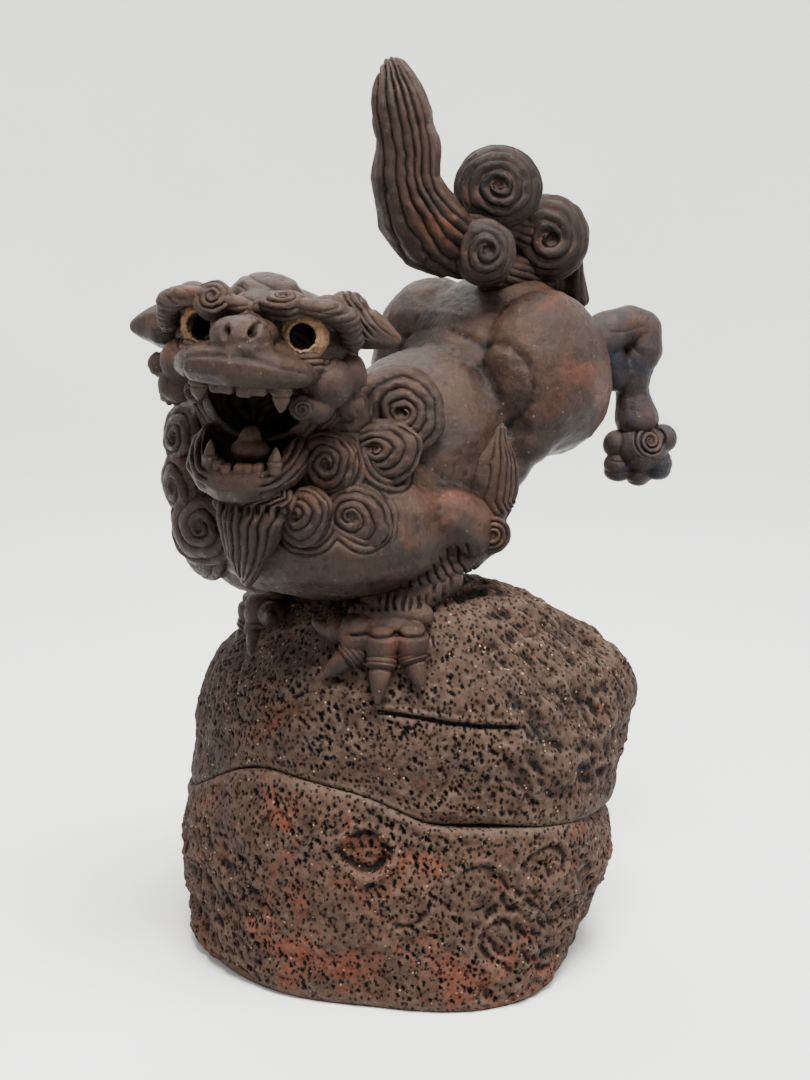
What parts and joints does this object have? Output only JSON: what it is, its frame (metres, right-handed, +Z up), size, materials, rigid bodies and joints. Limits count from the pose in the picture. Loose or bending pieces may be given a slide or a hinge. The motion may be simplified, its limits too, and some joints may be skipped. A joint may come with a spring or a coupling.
{
  "type": "foo dog statue",
  "caption": "Dark stoneware guardian lion-dog pouncing on a rock whose upper part, with the hollow lion, lifts off the lower bowl as a lid.",
  "frame": {"origin": "centre of the flat underside of the rock bowl, which stands on the table", "axes": "+Z up; the lion's body heads along -Y and its left side is +X; the head is turned to its left and looks between +X and -Y"},
  "size_m": [0.1569, 0.218, 0.33],
  "materials": {
    "dark_stoneware": "unglazed dark brown stoneware, semi-matt",
    "rock_stoneware": "unglazed pricked stoneware, matt",
    "red_stoneware": "unglazed pricked stoneware flashed red, matt",
    "tan_clay": "bare tan clay, matt",
    "tooth_clay": "unglazed brown stoneware, semi-matt"
  },
  "bodies": {
    "bowl": {"rock_base": "red_stoneware"},
    "lid": {"rock_lid": "rock_stoneware", "trunk": "dark_stoneware", "upper_teeth": "tooth_clay", "lower_teeth": "tooth_clay", "head_shell": "dark_stoneware", "lower_jaw": "dark_stoneware", "tongue": "dark_stoneware", "lower_fang_left": "tooth_clay", "lower_fang_right": "tooth_clay", "upper_lip": "dark_stoneware", "nose": "dark_stoneware", "upper_fang_left": "tooth_clay", "eye_left": "tan_clay", "cheek_left": "dark_stoneware", "brow_left": "dark_stoneware", "brow_curl_left": "dark_stoneware", "upper_fang_right": "tooth_clay", "eye_right": "tan_clay", "cheek_right": "dark_stoneware", "brow_right": "dark_stoneware", "brow_curl_right": "dark_stoneware", "crown_tuft": "dark_stoneware", "ear_left": "dark_stoneware", "ear_right": "dark_stoneware", "beard": "dark_stoneware", "mane_curl_shoulder": "dark_stoneware", "mane_curl_nape": "dark_stoneware", "mane_curl_throat_left": "dark_stoneware", "mane_curl_neck_left": "dark_stoneware", "mane_curl_breast_left": "dark_stoneware", "mane_curl_breast_outer": "dark_stoneware", "mane_curl_breast_right": "dark_stoneware", "mane_curl_throat_right": "dark_stoneware", "mane_curl_jowl_right": "dark_stoneware", "mane_curl_neck_right": "dark_stoneware", "mane_curl_breast_low": "dark_stoneware", "haunch_left": "dark_stoneware", "fore_leg_left": "dark_stoneware", "fore_paw_left": "dark_stoneware", "fore_claw_left_1": "tooth_clay", "fore_claw_left_2": "tooth_clay", "fore_claw_left_3": "tooth_clay", "elbow_tuft_left": "dark_stoneware", "hind_leg_left": "dark_stoneware", "hind_paw_left": "dark_stoneware", "haunch_right": "dark_stoneware", "fore_leg_right": "dark_stoneware", "fore_paw_right": "dark_stoneware", "fore_claw_right_1": "tooth_clay", "fore_claw_right_2": "tooth_clay", "fore_claw_right_3": "tooth_clay", "elbow_tuft_right": "dark_stoneware", "hind_leg_right": "dark_stoneware", "hind_paw_right": "dark_stoneware", "tail_plume": "dark_stoneware", "tail_curl_upper": "dark_stoneware", "tail_curl_rear": "dark_stoneware", "tail_curl_lower": "dark_stoneware", "tail_root": "dark_stoneware"}
  },
  "joints": [
    {"name": "lid_lift", "type": "slide", "parent": "bowl", "child": "lid", "axis": [0, 0, 1], "range_m": [0, 0.08]}
  ]
}
